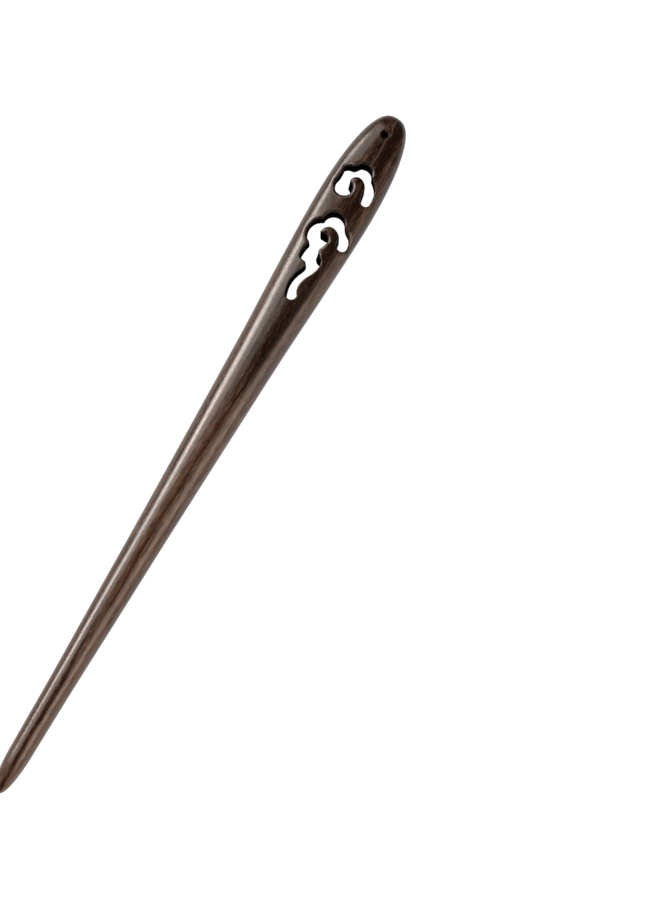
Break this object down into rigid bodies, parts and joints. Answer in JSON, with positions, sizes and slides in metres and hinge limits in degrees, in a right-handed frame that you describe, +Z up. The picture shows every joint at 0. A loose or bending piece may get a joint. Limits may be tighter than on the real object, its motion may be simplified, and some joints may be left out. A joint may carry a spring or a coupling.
{
  "type": "hair stick",
  "caption": "Straight tapered wooden hair stick with a flattened oval head, pierced by curled cloud openings and a small tassel hole.",
  "frame": {"origin": "centre of the bounding box in plan, at the height of the surface that the stick lies on", "axes": "+Y along the stick from the tip towards the head, +X across it, +Z up out of the broad face"},
  "size_m": [0.014, 0.18, 0.0077],
  "materials": {
    "dark_wood": "oiled and polished, semi-gloss, with fine open grain along the stick"
  },
  "bodies": {
    "root": {"stick": "dark_wood"}
  },
  "joints": []
}
